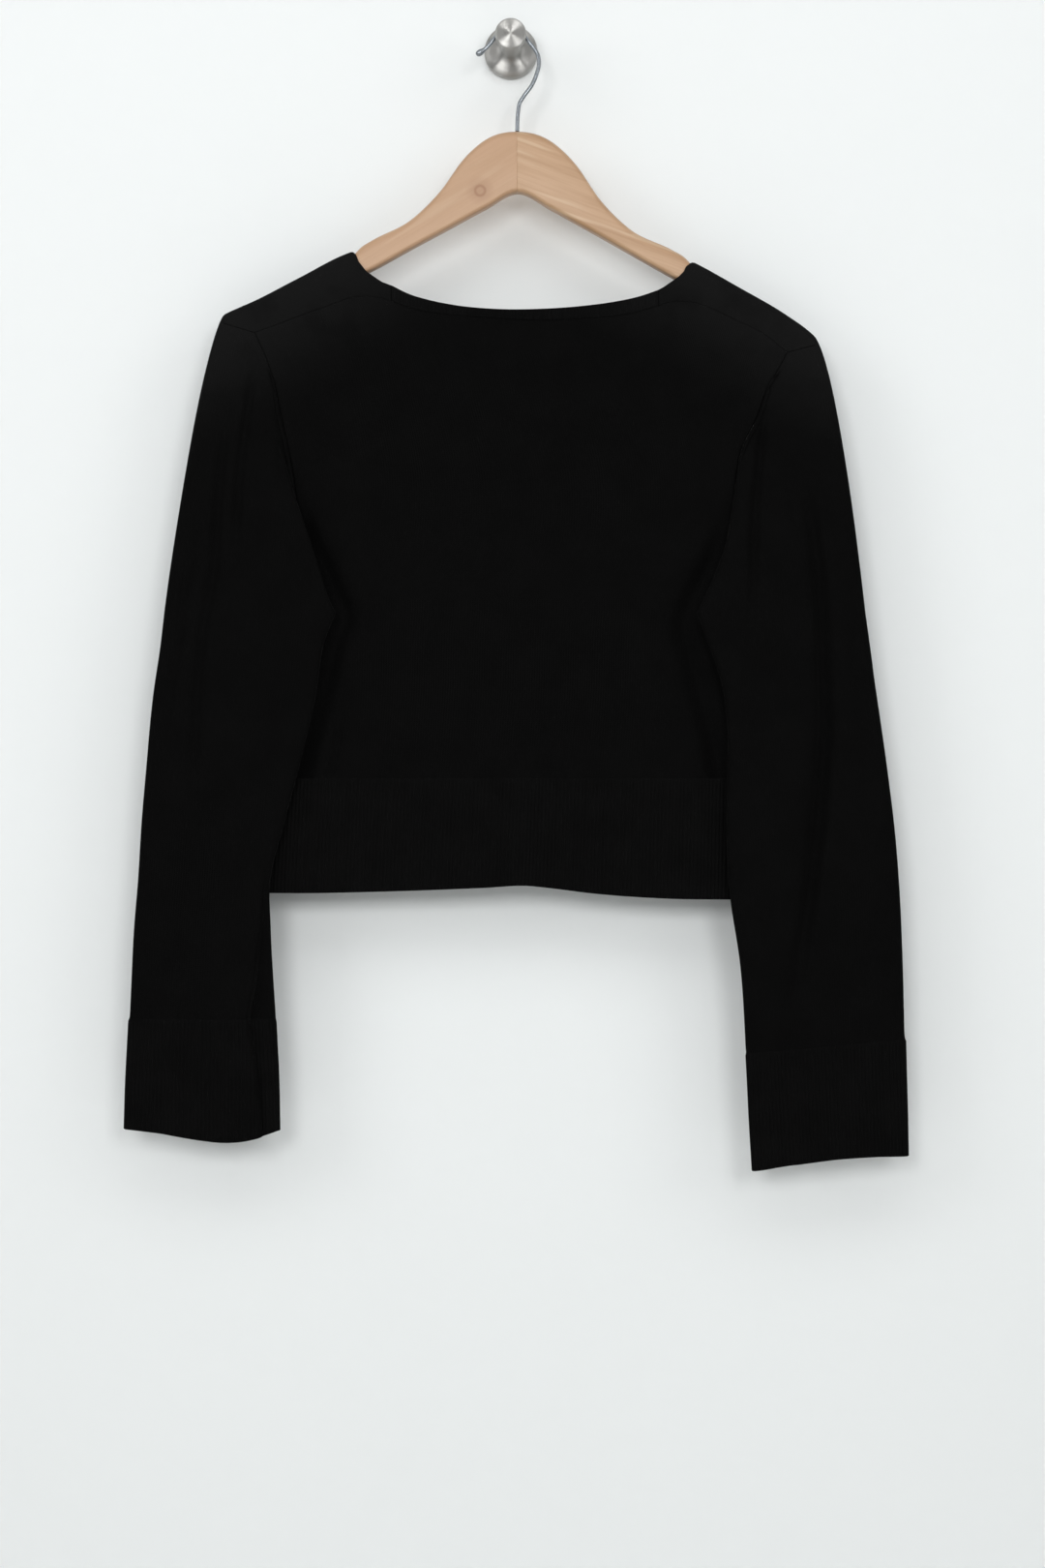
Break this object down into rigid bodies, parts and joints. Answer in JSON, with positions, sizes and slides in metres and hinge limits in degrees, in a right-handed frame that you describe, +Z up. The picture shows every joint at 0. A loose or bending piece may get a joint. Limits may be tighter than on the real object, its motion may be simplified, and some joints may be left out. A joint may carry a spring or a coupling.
{
  "type": "cropped knit cardigan on a wooden hanger and wall peg",
  "caption": "Black fine-knit cropped cardigan with deep ribbed hem and cuffs, hung flat on a two-part wooden hanger from a round steel wall peg, its back to the front.",
  "frame": {"origin": "middle of the flat back of the wall peg's rose, on the wall", "axes": "+Z up, +Y into the wall, so the garment hangs on the -Y side and shows its back to a viewer there; +X to that viewer's right"},
  "size_m": [0.5578, 0.0628, 0.8262],
  "materials": {
    "black_knit": "fine plain knit, matt and slightly fuzzy",
    "black_rib": "one by one rib, matt",
    "black_button": "half gloss",
    "pale_wood": "pale hardwood under thin varnish",
    "polished_wire": "bright drawn wire",
    "brushed_steel": "brushed round the axis"
  },
  "bodies": {
    "root": {"back": "black_knit", "back_neckband": "black_rib", "front_left": "black_knit", "front_right": "black_knit", "front_band_left": "black_rib", "front_band_right": "black_rib", "button_1": "black_button", "button_2": "black_button", "button_3": "black_button", "button_4": "black_button", "button_5": "black_button", "hem_rib_back": "black_rib", "hem_rib_front_left": "black_rib", "hem_rib_front_right": "black_rib", "sleeve_left": "black_knit", "sleeve_right": "black_knit", "cuff_left": "black_rib", "cuff_right": "black_rib", "hanger_half_left": "pale_wood", "hanger_half_right": "pale_wood", "hanger_hook": "polished_wire", "wall_peg": "brushed_steel"}
  },
  "joints": []
}
